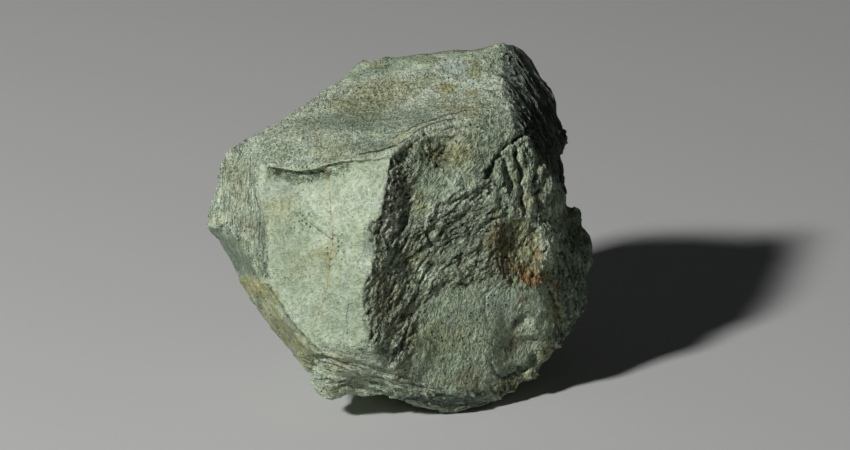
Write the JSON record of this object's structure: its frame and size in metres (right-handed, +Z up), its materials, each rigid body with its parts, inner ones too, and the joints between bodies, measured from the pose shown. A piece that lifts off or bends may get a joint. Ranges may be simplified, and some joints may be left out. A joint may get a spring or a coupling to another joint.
{
  "type": "flint nodule",
  "caption": "Hand-sized broken flint nodule with smooth flake scars, a rough bay, a stained pit and a small flat spot that it rests on.",
  "frame": {"origin": "centre of the bounding box at its bottom, on the flat spot's plane", "axes": "+Z up, -Y towards the side with the large smooth scar and the rough bay, +X to the right of someone who looks at that side"},
  "size_m": [0.1218, 0.1028, 0.0969],
  "materials": {
    "chalky_flint": "dull chalky skin, pale grey-green, with rust and ochre stains"
  },
  "bodies": {
    "root": {"flint_nodule": "chalky_flint"}
  },
  "joints": []
}
